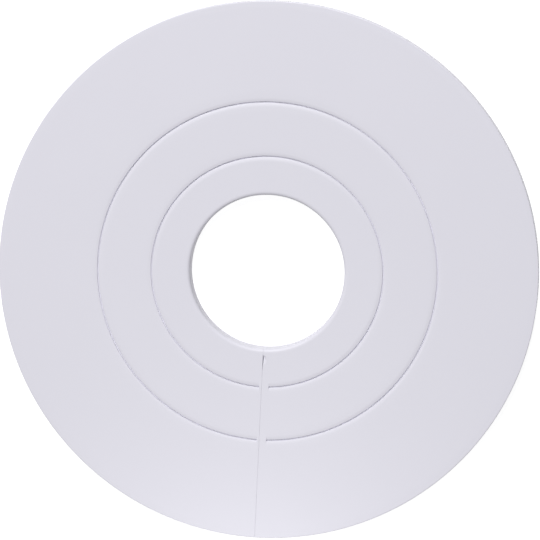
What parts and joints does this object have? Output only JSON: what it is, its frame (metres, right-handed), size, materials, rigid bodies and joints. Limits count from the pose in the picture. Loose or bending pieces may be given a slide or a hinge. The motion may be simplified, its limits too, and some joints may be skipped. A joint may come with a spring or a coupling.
{
  "type": "drain pipe escutcheon",
  "caption": "Flat round split cover plate of soft white plastic that hides the gap round a drain pipe, with cut rings in its face for larger pipes.",
  "frame": {"origin": "on the hole's axis, at the back face that lies against the wall or floor", "axes": "+Z out of the show face along the hole's axis, -Y along the slit from the hole to the rim"},
  "size_m": [0.175, 0.175, 0.006],
  "materials": {
    "soft_white_plastic": "satin white moulded soft plastic"
  },
  "bodies": {
    "root": {"escutcheon_plate": "soft_white_plastic"}
  },
  "joints": []
}
